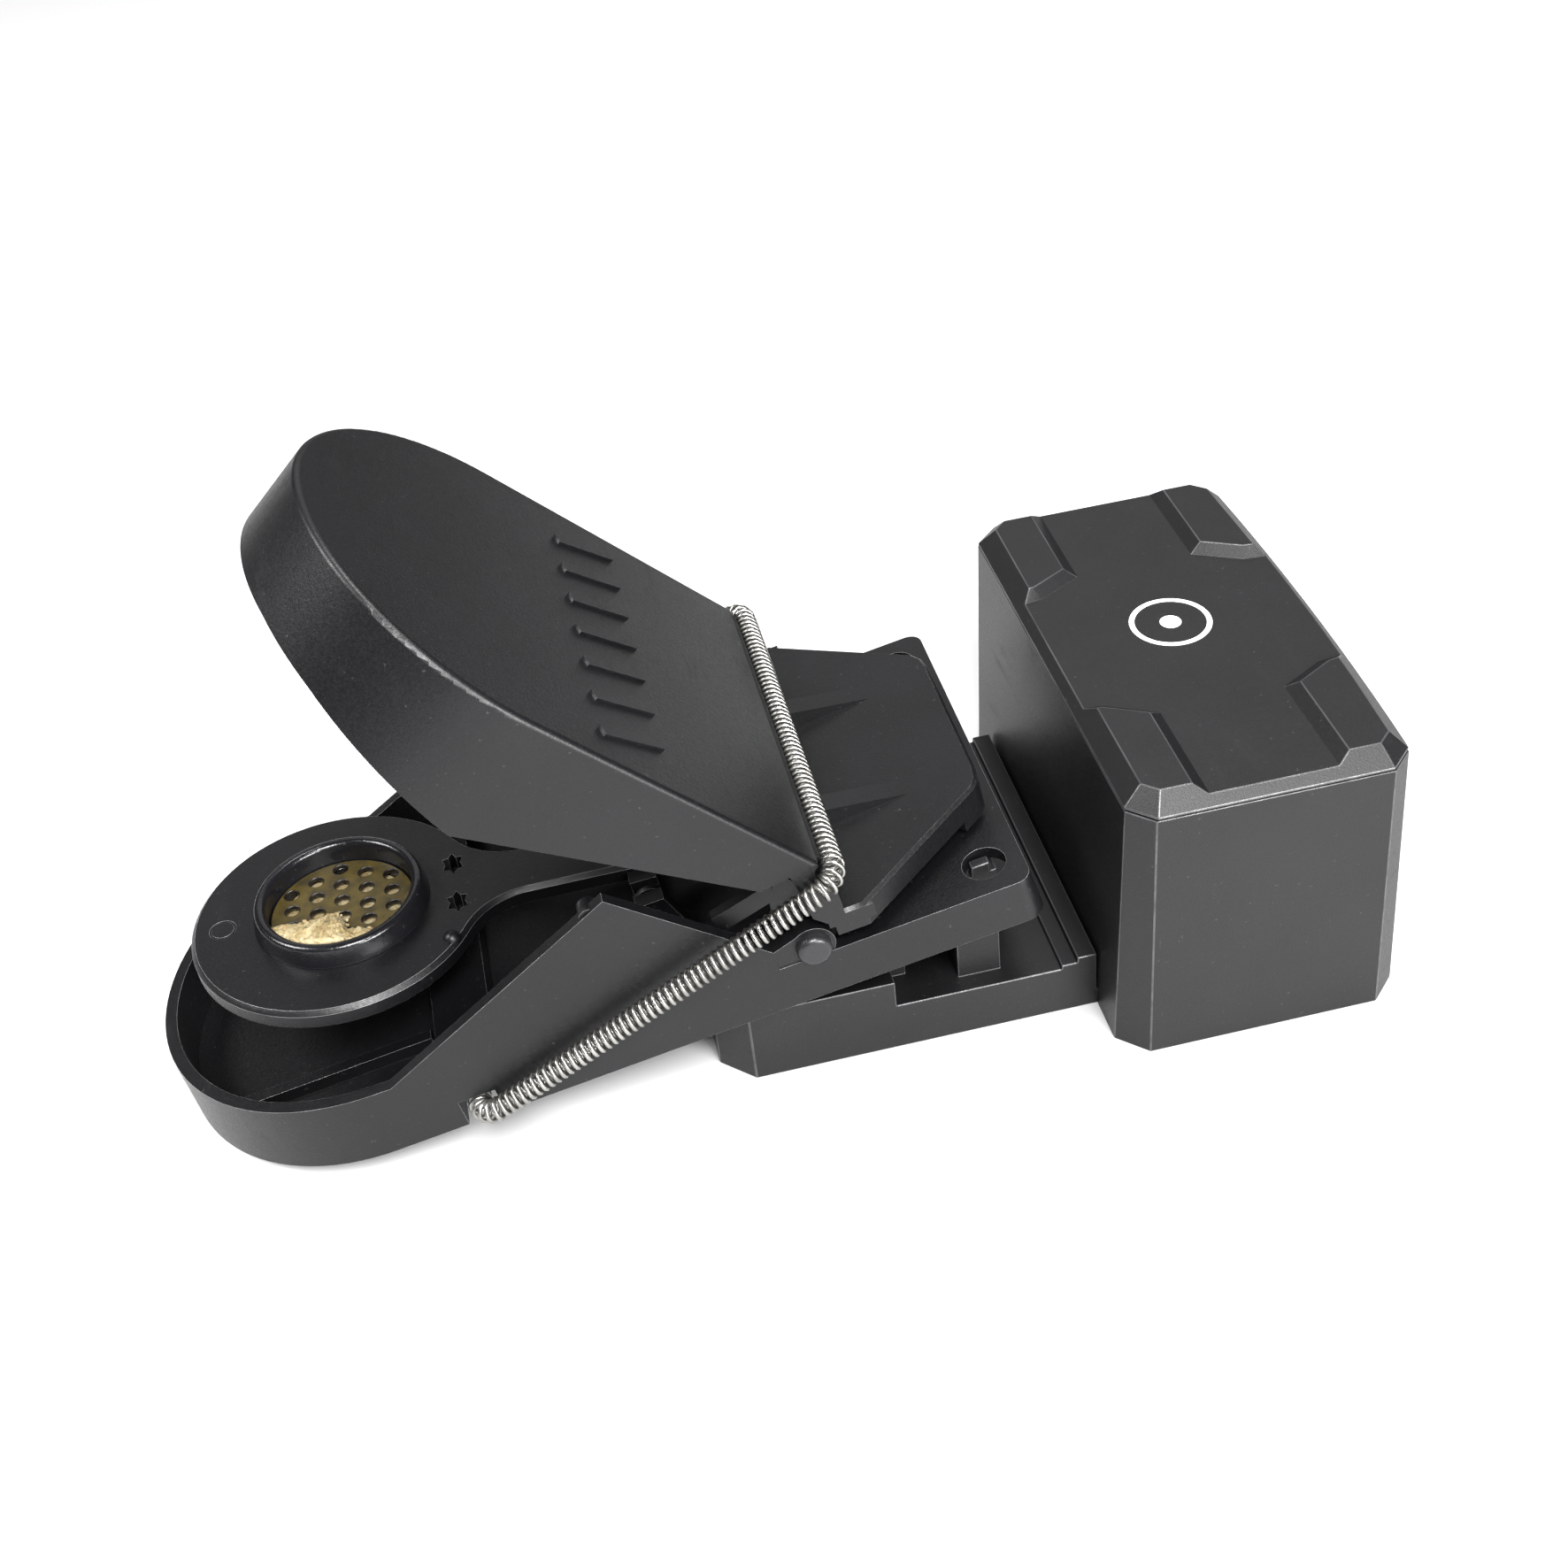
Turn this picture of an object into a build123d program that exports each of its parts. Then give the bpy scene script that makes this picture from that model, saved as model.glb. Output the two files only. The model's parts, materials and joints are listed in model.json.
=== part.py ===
"""Snap-jaw mouse trap clipped, nose down, onto the cradle of a battery-powered trap sensor.

Millimetres, +Z up, resting on z = 0. The origin is the centre of the sensor's footprint.
The trap points towards -X, and y = 0 is its plane of symmetry.
"""
from math import cos, pi, radians, sin, tan
import os

from build123d import *

# ---- Sensor housing: outline at lid height, walls widen towards the ground ----
BOX_X = 30.5            # depth, trap side to back
BOX_Y = 57.7            # width
BOX_H = 34.6            # height to the top of the corner pads
BOX_CUT = 2.7           # 45 degree cut on the four upright corners
BOX_BOW = 0.7           # outward bow of the back face
BOX_DRAFT = 1.6         # degrees
BOX_WALL = 1.8
LID_SEAM_Z = 32.2
LID_CHAMFER = 2.0
LID_RECESS = 1.0        # depth of the cross-shaped middle between the pads
LID_SLOPE = 55.0        # degrees from upright, sides of the recess
PAD_X = 6.9             # pads start this far from the centre in x
PAD_Y = 13.7            # and this far in y

# ---- Cradle: tongue that carries the trap, and the cover under the sensor ----
TONGUE_END_X = -59.0
TONGUE_HALF = 20.9
TONGUE_CUT = 3.5
TONGUE_FLOOR_Z = 6.4
TONGUE_BLOCK_Z = 9.9
TONGUE_STEP_X = -39.1
COVER_T = 2.2
GASKET_T = 1.0

# ---- Trap frame: u along the trap (nose at -u), w square to its underside ----
TRAP_TILT = 10.8        # degrees, nose down
TRAP_X = -22.6          # rear lower edge of the trap in the world
TRAP_Z = 18.2
BASE_HALF = 23.9        # half width at the underside
BASE_NOSE_U = -73.3     # centre of the round nose
BASE_DRAFT = 5.0        # degrees, walls lean inwards going up
BASE_WALL = 1.4
BASE_FLOOR = 1.6
RIM_W = 8.3             # height of the low nose rim
PEAK_U, PEAK_W = -42.5, 21.3
DECK_W = 5.3            # top of the rear flange
DECK_T = 1.6
DECK_FRONT_U = -20.6
TIE_U, TIE_V, TIE_R = -4.6, 18.9, 2.4   # tie-down holes in the flange

# ---- Jaw: hood, lever and hinge, set open ----
HINGE_U, HINGE_W = -24.4, 6.7
HINGE_PIN_R = 1.5
PIN_HEAD_R = 1.9
PIN_HEAD_END = 24.5     # outer end of the domed heads
PIN_HEAD_V = 23.0       # inner face of the pins' heads
RUN_GAP = 0.05          # radial running clearance
RIDGE_U, RIDGE_W = -20.6, 17.4
JAW_OPEN = 54.9         # degrees between the hood's top and the base
HOOD_HALF = 24.1
HOOD_STRAIGHT = 35.0    # length of the parallel part, before the round nose
HOOD_DRAFT = 2.0
HOOD_WALL = 1.3
HOOD_TOP = 1.4
CHEEK_V = (19.6, 20.9)  # inner and outer face of the hinge cheeks
GRIP_X = -22.8          # middle of the row of raised grip bars on the hood
GRIP_BAR = (8.2, 1.3, 0.7)
GRIP_TURN = 20.0
LEVER_W = 10.7          # top of the lever
LEVER_DEPTH = 3.0

# ---- Trigger plate and bait ----
TRIGGER_U, TRIGGER_W = -40.0, 5.2       # trigger pivot
PLATE_U, PLATE_W = -73.0, 14.7          # centre of the plate's top face
PLATE_TILT = 9.9
PLATE_R = 16.2
PLATE_T = 2.0
NECK_HALF = 3.7
NECK_FILLET = 8.0
STAR_X, STAR_Y = 13.3, 3.3              # star-shaped holes in the neck's root
CUP_U = 0.7             # cup centre, this far behind the plate's centre
CUP_R = 9.8             # foot of the rim, on the plate
CUP_TOP_R = 9.3
CUP_BODY_R = 8.8        # body that drops through the plate
CUP_BORE = 8.1
CUP_LEDGE = 0.5         # step in the bore that carries the disc
CUP_FLOOR = 0.8
CUP_H = 2.5
CUP_DEPTH = 3.5
GRID_TOP = -0.1         # the disc's top, from the plate's top face
GRID_T = 0.6
GRID_HOLE_R = 0.8
GRID_PITCH_X = 2.8      # between staggered columns of holes
GRID_PITCH_Y = 2.7      # between holes of a column
SEAR_R = 6.7            # reach of the sear tooth from the jaw's hinge
CATCH_R = 6.8           # inner reach of the jaw's catch

# ---- Power spring: one closed loop around jaw and base ----
SPRING_R = 1.35
SPRING_V = 25.55
SPRING_TOP = (-19.65, 16.2)
SPRING_FOOT = (-63.4, 1.65)
SPRING_BEND = 2.6
SPRING_PLAY = 0.1       # gap between spring and jaw
NOTCH_SHIFT = (-0.6, 0.2)   # room in the jaw's corners for the spring's bends to shift, u and w

# ---- Inside the sensor ----
CELL_R, CELL_L = 5.2, 44.0
CELL_X = 5.9
CELL_Z = 9.6
BOARD_Z, BOARD_T = 20.0, 1.6
BOARD_X, BOARD_Y = 22.0, 46.0
SCREW_R = 1.1

TRAP = Pos(TRAP_X, 0, TRAP_Z) * Rot(0, -TRAP_TILT, 0)
HOOD = Pos(RIDGE_U, 0, RIDGE_W) * Rot(0, JAW_OPEN, 0)
PLATE = Pos(PLATE_U, 0, PLATE_W) * Rot(0, PLATE_TILT, 0)


def slab(points, y_low, y_high):
    """Prism of an x-z outline between two y values."""
    face = Plane.XZ * Polygon(*points, align=None)
    return Pos(0, (y_low + y_high) / 2, 0) * extrude(face, (y_high - y_low) / 2, both=True)


def both_sides(points, y_low, y_high):
    return slab(points, y_low, y_high) + slab(points, -y_high, -y_low)


def rod(x, z, radius, y_low, y_high):
    """Cylinder along Y."""
    return Pos(x, (y_low + y_high) / 2, z) * Rot(90, 0, 0) * Cylinder(radius, y_high - y_low)


def block(x_range, y_range, z_range):
    size = [high - low for low, high in (x_range, y_range, z_range)]
    middle = [(high + low) / 2 for low, high in (x_range, y_range, z_range)]
    return Pos(*middle) * Box(*size)


def box_outline(grow):
    """Plan of the housing, grown outwards by a distance: cut corners and a bowed back."""
    half_x = BOX_X / 2 + grow
    half_y = BOX_Y / 2 + grow
    cut = BOX_CUT + grow * tan(pi / 8)
    corners = [
        (half_x, half_y - cut),
        (half_x - cut, half_y),
        (-half_x + cut, half_y),
        (-half_x, half_y - cut),
        (-half_x, -half_y + cut),
        (-half_x + cut, -half_y),
        (half_x - cut, -half_y),
        (half_x, -half_y + cut),
    ]
    back = ThreePointArc(corners[-1], (half_x + BOX_BOW, 0), corners[0])
    return make_face(Curve() + [Polyline(*corners), back])


def box_grow(z):
    """How much wider the housing is at height z than at the lid seam."""
    return (LID_SEAM_Z - z) * tan(radians(BOX_DRAFT))


def box_prism(grow, z_low, z_high):
    """Drafted prism of the housing's outline."""
    outline = Pos(0, 0, z_low) * box_outline(grow + box_grow(z_low))
    return extrude(outline, z_high - z_low, taper=BOX_DRAFT)


def sensor_housing():
    shell = box_prism(0, 0, LID_SEAM_Z)
    ledge_z = COVER_T + GASKET_T
    shell -= box_prism(-BOX_WALL, -0.01, ledge_z)
    shell -= box_prism(-BOX_WALL - 1.2, ledge_z - 0.01, LID_SEAM_Z + 0.01)
    shell -= block((-20, -13), (-TONGUE_HALF - 0.1, TONGUE_HALF + 0.1), (-1, COVER_T + 0.05))
    for x, y in cover_screw_places():
        boss = Pos(x, y, (ledge_z + 10) / 2) * Cylinder(2.3, 10 - ledge_z)
        shell += boss & box_prism(-0.5, 0, LID_SEAM_Z)
        shell -= Pos(x, y, 5) * Cylinder(SCREW_R, 9)
    return shell


def cover_screw_places():
    return [(x, y) for x in (-11.2, 11.2) for y in (-24.9, 24.9)]


def sensor_lid():
    """Top plate with four raised corner pads around a cross-shaped recess."""
    outline = Pos(0, 0, LID_SEAM_Z) * box_outline(0)
    lid = extrude(outline, BOX_H - LID_SEAM_Z)
    top_edges = lid.edges().group_by(Axis.Z)[-1]
    lid = chamfer(top_edges, LID_CHAMFER)
    seam_edges = lid.edges().group_by(Axis.Z)[0]
    lid = chamfer(seam_edges, 0.2)
    quarter = [(PAD_X, BOX_Y), (PAD_X, PAD_Y), (PAD_X + 5.2, PAD_Y - 3.0), (BOX_X, PAD_Y - 5.5)]
    left = [(-x, y) for x, y in quarter] + [(-x, -y) for x, y in reversed(quarter)]
    cross = left + [(-x, -y) for x, y in left]
    floor = Pos(0, 0, BOX_H - LID_RECESS) * Polygon(*cross, align=None)
    lid -= extrude(floor, LID_RECESS + 0.2, taper=-LID_SLOPE)
    skirt = box_prism(-BOX_WALL - 1.35, LID_SEAM_Z - 2.0, LID_SEAM_Z + 0.3)
    skirt -= box_prism(-BOX_WALL - 2.6, LID_SEAM_Z - 2.1, LID_SEAM_Z)
    return lid + skirt


def cover_gasket():
    ring = box_prism(-BOX_WALL - 0.1, COVER_T, COVER_T + GASKET_T - 0.03)
    return ring - box_prism(-BOX_WALL - 1.1, COVER_T - 0.1, COVER_T + GASKET_T + 0.1)


def cradle():
    """Tongue under the trap, in one piece with the cover that closes the sensor."""
    face_x = -BOX_X / 2 - box_grow(0) - 0.1
    plan = [
        (face_x, -TONGUE_HALF),
        (face_x, TONGUE_HALF),
        (TONGUE_END_X + TONGUE_CUT, TONGUE_HALF),
        (TONGUE_END_X, TONGUE_HALF - TONGUE_CUT),
        (TONGUE_END_X, -TONGUE_HALF + TONGUE_CUT),
        (TONGUE_END_X + TONGUE_CUT, -TONGUE_HALF),
    ]
    body = extrude(Polygon(*plan, align=None), TONGUE_BLOCK_Z)
    body -= block((TONGUE_STEP_X, 0), (-30, 30), (TONGUE_FLOOR_Z, 20))
    body += block((face_x - 2.2, face_x), (-TONGUE_HALF, TONGUE_HALF), (5, TONGUE_FLOOR_Z + 1.2))
    body += block((face_x - 4.0, face_x), (-TONGUE_HALF, TONGUE_HALF), (5, TONGUE_FLOOR_Z + 0.5))
    # Ribbed underside: three pockets leave walls and cross ribs.
    for x_low, x_high in ((-56.8, -48.5), (-46.9, -33.6), (-32.0, -18.5)):
        body -= block((x_low, x_high), (-TONGUE_HALF + 1.8, TONGUE_HALF - 1.8), (-1, TONGUE_FLOOR_Z - 1.6))
    # Saddle under the trap's floor, posts under its flange.
    body += block((TONGUE_END_X + 0.6, -50), (-15, 15), (TONGUE_BLOCK_Z - 1, 16))
    for side in (-1, 1):
        post_y = sorted((side * 14.6, side * 18.6))
        rib_y = sorted((side * 12.0, side * 16.3))
        body += block((-31.5, -26.6), post_y, (TONGUE_FLOOR_Z - 1, 22))
        body += block((TONGUE_STEP_X - 0.5, -36.9), rib_y, (TONGUE_FLOOR_Z - 1, 16))
    under_floor = TRAP * block((-60, DECK_FRONT_U + 0.05), (-30, 30), (-0.05, 30))
    under_deck = TRAP * block((DECK_FRONT_U - 1, 5), (-30, 30), (DECK_W - DECK_T - 0.05, 30))
    body = body - under_floor - under_deck
    for side in (-1, 1):
        prong_y = sorted((side * 18.6, side * 17.4))
        prong = block((-29.4, -27.4), prong_y, (16, 24))
        prong &= TRAP * block((-12, 0), (-30, 30), (0, DECK_W - 0.4))
        body += prong
    cover = box_prism(-BOX_WALL - 0.08, 0, COVER_T)
    cover += block((face_x - 1, -10), (-TONGUE_HALF, TONGUE_HALF), (0, COVER_T))
    for x, y in cover_screw_places():
        cover -= Pos(x, y, 0) * Cylinder(SCREW_R + 0.15, 10)
        cover -= Pos(x, y, 0) * Cylinder(2.3, 2.4)
    return body + cover


def cover_screws():
    return Compound(children=[Pos(x, y, 0) * pan_screw(0.1, 1.15, 8.2) for x, y in cover_screw_places()])


def pan_screw(z_low, head_top, tip):
    """Screw driven upwards: head from z_low to head_top, shank to the tip."""
    head = Pos(0, 0, (z_low + head_top) / 2) * Cylinder(2.0, head_top - z_low)
    shank = Pos(0, 0, (head_top + tip) / 2) * Cylinder(SCREW_R - 0.03, tip - head_top)
    drive = Pos(0, 0, z_low) * (Box(2.4, 0.5, 0.8) + Box(0.5, 2.4, 0.8))
    return head + shank - drive


def board_screw_places():
    return [(0, -20.5), (0, 20.5)]


def battery_holder():
    """Tray for two cells, with a column at each end that carries the board."""
    tray = block((-11.8, 11.8), (-25.2, 25.2), (COVER_T + 0.05, CELL_Z))
    tray -= block((-11.0, 11.0), (-23.65, 23.65), (CELL_Z - 1.0, CELL_Z + 1))
    for x in (-CELL_X, CELL_X):
        tray -= rod(x, CELL_Z, CELL_R + 0.1, -23.65, 23.65)
    for x, y in cover_screw_places():
        tray -= Pos(x, y, 5) * Cylinder(2.5, 16)
    for x, y in board_screw_places():
        column = block((-0.55, 0.55), (y - 3, y + 3), (4, BOARD_Z - 3))
        tray += column
        tray += Pos(x, y, BOARD_Z - 3.0) * Cylinder(2.4, 6)
        tray -= Pos(x, y, BOARD_Z - 1) * Cylinder(0.8, 5)
    for x in (-CELL_X, CELL_X):
        tray -= rod(x, CELL_Z, CELL_R + 0.1, -23.65, 23.65)
    return tray


def batteries():
    cells = []
    for x, turn in ((-CELL_X, 1), (CELL_X, -1)):
        can = rod(x, CELL_Z, CELL_R, -CELL_L / 2 + 0.5, CELL_L / 2 - 0.5)
        tip = turn * (CELL_L / 2 - 0.5)
        can += rod(x, CELL_Z, 1.9, *sorted((tip, tip + turn * 1.0)))
        cells.append(can)
    return Compound(children=cells)


def battery_contacts():
    """Plate with a nub at each positive tip, plate with a coil at each negative end."""
    pieces = []
    for x, turn in ((-CELL_X, 1), (CELL_X, -1)):
        for end in (turn, -turn):
            plate_y = sorted((end * 23.2, end * 23.6))
            plate = block((x - 3.2, x + 3.2), plate_y, (CELL_Z - 3.4, CELL_Z + 3.4))
            if end == turn:
                plate += rod(x, CELL_Z, 1.4, *sorted((end * 22.55, end * 23.3)))
            else:
                coil_y = sorted((end * 21.6, end * 23.3))
                plate += rod(x, CELL_Z, 2.6, *coil_y) - rod(x, CELL_Z, 1.9, *coil_y)
            pieces.append(plate)
    return Compound(children=pieces)


def circuit_board():
    low = BOARD_Z + 0.02
    board = block((-BOARD_X / 2, BOARD_X / 2), (-BOARD_Y / 2, BOARD_Y / 2), (low, BOARD_Z + BOARD_T))
    for x, y in board_screw_places():
        board -= Pos(x, y, BOARD_Z) * Cylinder(1.2, 6)
    return board


def board_screws():
    top = BOARD_Z + BOARD_T + 0.02
    screws = []
    for x, y in board_screw_places():
        head = Pos(x, y, top + 0.55) * Cylinder(1.9, 1.1)
        shank = Pos(x, y, top - 1.9) * Cylinder(0.78, 3.8)
        slot = Pos(x, y, top + 1.1) * (Box(2.2, 0.5, 0.8) + Box(0.5, 2.2, 0.8))
        screws.append(head + shank - slot)
    return Compound(children=screws)


def on_board(size_x, size_y, height, x, y):
    low = BOARD_Z + BOARD_T + 0.02
    return block((x - size_x / 2, x + size_x / 2), (y - size_y / 2, y + size_y / 2), (low, low + height))


def radio_module():
    base = on_board(14, 11, 0.8, 2.5, 10)
    can = Pos(2.5, 10, BOARD_Z + BOARD_T + 1.9) * Box(12.4, 9.4, 2.2)
    return base + can


def antenna():
    """Helical radio antenna standing on the board, as a closed sleeve."""
    low = BOARD_Z + BOARD_T + 0.02
    sleeve = Pos(-7, 10, low + 3.6) * Cylinder(2.1, 7.2)
    return sleeve - Pos(-7, 10, low + 4.6) * Cylinder(1.5, 7.2)


def motion_sensor():
    """Ball tilt-and-knock switch that wakes the radio when the jaw snaps."""
    can = Pos(-5, -9, BOARD_Z + BOARD_T + 2.6) * Rot(90, 0, 0) * Cylinder(2.4, 8)
    foot = on_board(3.6, 6.4, 1.2, -5, -9)
    return can + foot


def controller_chip():
    return on_board(7, 7, 1.0, 5, -6)


def base_outline(inset):
    """Plan of the trap's base at its underside: square tail, round nose."""
    half = BASE_HALF - inset
    tail = Pos(BASE_NOSE_U / 2 - inset / 2, 0) * Rectangle(-BASE_NOSE_U - inset, 2 * half)
    tail = fillet(tail.vertices().group_by(Axis.X)[-1], max(2.2 - inset, 0.5))
    return tail + Pos(BASE_NOSE_U, 0) * Circle(half)


def base_prism(inset, w_low, w_high):
    """Drafted prism of the base's outline, in the trap frame."""
    shrink = w_low * tan(radians(BASE_DRAFT))
    outline = Pos(0, 0, w_low) * base_outline(inset + shrink)
    return extrude(outline, w_high - w_low, taper=BASE_DRAFT)


def trap_base():
    """Open tub with a low nose rim, two side peaks and a hollow rear flange."""
    top = PEAK_W + 1
    tub = base_prism(0, 0, top)
    tub -= base_prism(BASE_WALL, BASE_FLOOR, top + 1) & block((-110, DECK_FRONT_U), (-40, 40), (0, 60))
    tub -= block((DECK_FRONT_U - 8, 5), (-40, 40), (DECK_W, 60))
    hollow = base_prism(BASE_WALL, 0, DECK_W - DECK_T)
    tub -= hollow & block((DECK_FRONT_U + 1.4, 5), (-40, 40), (-1, 60))
    profile = [
        (-100, 0),
        (5, 0),
        (5, DECK_W),
        (HINGE_U + 2, DECK_W),
        (-28.6, 7.7),
        (PEAK_U, PEAK_W),
        (-70.8, RIM_W - 0.2),
        (-78, RIM_W),
        (-100, RIM_W),
    ]
    tub &= slab(profile, -40, 40)
    # Hinge lugs at the rear end of both walls.
    lug = [(-29, 4.5), (-28.6, 7.7), (HINGE_U, HINGE_W + 2.4), (HINGE_U, 4.5)]
    for low, high in ((21.6, 23.3), (-23.3, -21.6)):
        tub += slab(lug, low, high) + rod(HINGE_U, HINGE_W, 2.4, low, high)
    # Bridge over the spring's tunnel, then the tunnel itself.
    foot_u, foot_w = SPRING_FOOT
    bridge = block((foot_u - 3.2, foot_u + 3.2), (-30, 30), (0.5, 4.6))
    tub += bridge & base_prism(0.3, 0, 8)
    tub -= block((foot_u - 1.9, foot_u + 2.2), (-40, 40), (-1, foot_w + SPRING_R + 0.25))
    # Pivot stands for the trigger.
    stand = [(-43.5, 1.0), (-41.6, 7.1), (-38.4, 7.1), (-36.5, 1.0)]
    tub += both_sides(stand, 6.6, 8.6)
    tub -= rod(TRIGGER_U, TRIGGER_W, 0.85, -9, 9)
    for low, high in ((21, 26), (-26, -21)):
        tub -= rod(HINGE_U, HINGE_W, HINGE_PIN_R, low, high)
    for low, high in ((PIN_HEAD_V - 0.03, 26), (-26, 0.03 - PIN_HEAD_V)):
        tub -= rod(HINGE_U, HINGE_W, PIN_HEAD_R + 0.05, low, high)
    # Floor ribs, and stop bosses inside the peaks.
    for v in (-12, 12):
        tub += block((-60, -45.5), (v - 0.7, v + 0.7), (1.0, 4.2))
        tub += block((-92, -67.5), (v - 0.7, v + 0.7), (1.0, 3.2)) & base_prism(0.6, 0, 8)
    for low, high in ((19.6, 21.6), (-21.6, -19.6)):
        tub += rod(PEAK_U - 1.9, PEAK_W - 1.9, 1.2, low, high)
    for v in (-TIE_V, TIE_V):
        tub -= Pos(TIE_U, v, DECK_W) * Cylinder(TIE_R, 6)
    return TRAP * tub


def jaw_pins():
    """Headed pins through the base's lugs into the jaw's cheeks."""
    pins = []
    for side in (-1, 1):
        shank = rod(HINGE_U, HINGE_W, HINGE_PIN_R - 0.01, *sorted((side * 19.4, side * 23.4)))
        head = rod(HINGE_U, HINGE_W, PIN_HEAD_R, *sorted((side * PIN_HEAD_V, side * PIN_HEAD_END)))
        outer_rim = head.edges().sort_by(Axis.Y)[-1 if side > 0 else 0]
        pins.append(TRAP * (shank + fillet(outer_rim, 0.7)))
    return Compound(children=pins)


def hood_outline(grow):
    half = HOOD_HALF + grow
    straight = Pos(-HOOD_STRAIGHT / 2, 0) * Rectangle(HOOD_STRAIGHT, 2 * half)
    nose = Pos(-HOOD_STRAIGHT, 0) * Circle(half)
    return straight + (nose & Pos(-HOOD_STRAIGHT - 40, 0) * Rectangle(80.02, 100))


def hood_prism(inset, depth_low, depth_high):
    """Flared prism of the hood's outline: x runs back from the nose, z is minus depth."""
    flare = depth_low * tan(radians(HOOD_DRAFT))
    outline = Pos(0, 0, -depth_low) * hood_outline(flare - inset)
    return extrude(outline, depth_low - depth_high, taper=HOOD_DRAFT)


def hood():
    """Round-nosed hood of the jaw, in its own frame."""
    shell = hood_prism(0, 16, 0)
    top_edges = shell.edges().group_by(Axis.Z)[-1].filter_by(lambda e: e.center().X < -1)
    shell = fillet(top_edges, 0.7)
    hollow = hood_prism(HOOD_WALL, 17, HOOD_TOP)
    shell = shell - hollow - Pos(1, 0, 0) * hollow
    tip = HOOD_STRAIGHT + HOOD_HALF + 3
    keep = [
        (0, 1),
        (-tip, 1),
        (-tip, -9.5),
        (-tip + 5, -9.6),
        (-HOOD_STRAIGHT - 17, -10.4),
        (-HOOD_STRAIGHT, -14.4),
        (-3.8, -5.6),
        (-2.2, -2.8),
        (0, -2.4),
    ]
    shell &= slab(keep, -40, 40)
    for y in range(-18, 19, 6):
        shell += Pos(GRIP_X, y, 0) * Rot(0, 0, GRIP_TURN) * Box(*GRIP_BAR)
    return shell


def lever():
    """Setting lever: a tapering plate with a skirt and two wedge ribs."""
    def plan(inset):
        half = HOOD_HALF - inset
        nose = [(-21.5, -half), (-18.0 - inset * 0.3, -half), (-2.8 - inset, -12.9 + inset * 0.4)]
        rear = [(-2.0 - inset, -11.6 + inset * 0.4), (-1.7 - inset, -9.6)]
        side = nose + rear
        return Polygon(*(side + [(u, -v) for u, v in reversed(side)]), align=None)

    plate = Pos(0, 0, LEVER_W - LEVER_DEPTH) * extrude(plan(0), LEVER_DEPTH)
    plate = chamfer(plate.edges().group_by(Axis.Z)[-1], 0.35)
    pocket = Pos(0, 0, LEVER_W - LEVER_DEPTH - 1) * extrude(plan(1.5), LEVER_DEPTH - 0.6)
    plate -= pocket & block((-19.5, 5), (-40, 40), (0, 20))
    for v in (-9.0, 9.0):
        ridge = [(-20.6, 10.2), (-20.6, 13.0), (-8.6, 10.5), (-8.6, 10.2)]
        plate += slab(ridge, v - 1.3, v + 1.3)
    # Stop teeth under the rear corners, flush with the skirt.
    for side in (-1, 1):
        tooth = [(-4.9, -14.4), (-2.8, -12.9), (-2.0, -11.6), (-3.4, -10.9), (-6.0, -13.2)]
        face = Polygon(*[(u, side * v) for u, v in tooth], align=None)
        plate += Pos(0, 0, 7.5) * extrude(face, 2.2, both=True) & block((-10, 0), (-20, 20), (6.4, 9.5))
    return plate


def jaw():
    """Hood, rear wall, lever, side webs, hinge cheeks and catch: one moulding."""
    body = HOOD * hood()
    rear_wall = [
        (RIDGE_U, RIDGE_W),
        (RIDGE_U + 0.5, RIDGE_W - 0.7),
        (RIDGE_U + 0.5, 9.0),
        (RIDGE_U - 1.5, 9.0),
        (RIDGE_U - 1.5, RIDGE_W + 0.9),
    ]
    body += slab(rear_wall, -HOOD_HALF, HOOD_HALF)
    body += lever()
    web = [
        (-20.3, 16.9),
        (-24.0, 17.3),
        (-23.6, 14.0),
        (-23.4, 11.1),
        (-22.2, 9.8),
        (-20.5, 8.7),
        (-18.7, 8.4),
        (-17.1, 8.7),
        (-17.1, 10.3),
        (-20.3, 10.3),
    ]
    body += both_sides(web, HOOD_HALF - 1.4, HOOD_HALF)
    # Cheeks down to the hinge, each with an arm that reaches forwards along the base's wall.
    cheek = [(-27.6, 7.4), (-26.6, 17.6), (-21.0, 16.6), (-20.3, 9.4), (-21.1, 6.4)]
    arm = [(-33.3, 12.9), (-32.7, 10.8), (-24.9, 12.9), (-25.5, 15.1)]
    inner, outer = CHEEK_V
    body += both_sides(cheek, inner, outer) + both_sides(arm, inner, outer)
    for low, high in ((inner, outer), (-outer, -inner)):
        body += rod(HINGE_U, HINGE_W, 3.2, low, high)
        body -= rod(HINGE_U, HINGE_W, HINGE_PIN_R + RUN_GAP, low - 1, high + 1)
    for low, high in ((inner, outer + 0.3), (-outer - 0.3, -inner)):
        body += rod(-25.2, 14.0, 1.15, low, high)   # round ends of the arms
    # Catch finger hanging from the hood, its tip just outside the sear tooth.
    body += catch_finger()
    body -= spring_loop(SPRING_R + SPRING_PLAY)
    # Notches in the rear corners, where the spring's bends lie.
    notch_u = SPRING_TOP[0] + NOTCH_SHIFT[0]
    notch_w = SPRING_TOP[1] + NOTCH_SHIFT[1]
    for low, high in ((SPRING_V - SPRING_BEND - 0.3, SPRING_V), (-SPRING_V, SPRING_BEND - SPRING_V + 0.3)):
        body -= rod(notch_u, notch_w, SPRING_R + SPRING_PLAY, low, high)
    return TRAP * body


def around_hinge(radius, angle):
    """Point at a radius and angle about the jaw's hinge, in the trap frame."""
    return (HINGE_U + radius * cos(radians(angle)), HINGE_W + radius * sin(radians(angle)))


def catch_finger():
    """Finger rooted in the hood's top wall."""
    outline = [
        around_hinge(CATCH_R, 92),
        around_hinge(17.2, 96.5),
        around_hinge(20.2, 101),
        around_hinge(CATCH_R, 104),
    ]
    return slab(outline, -3.5, 3.5)


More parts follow.
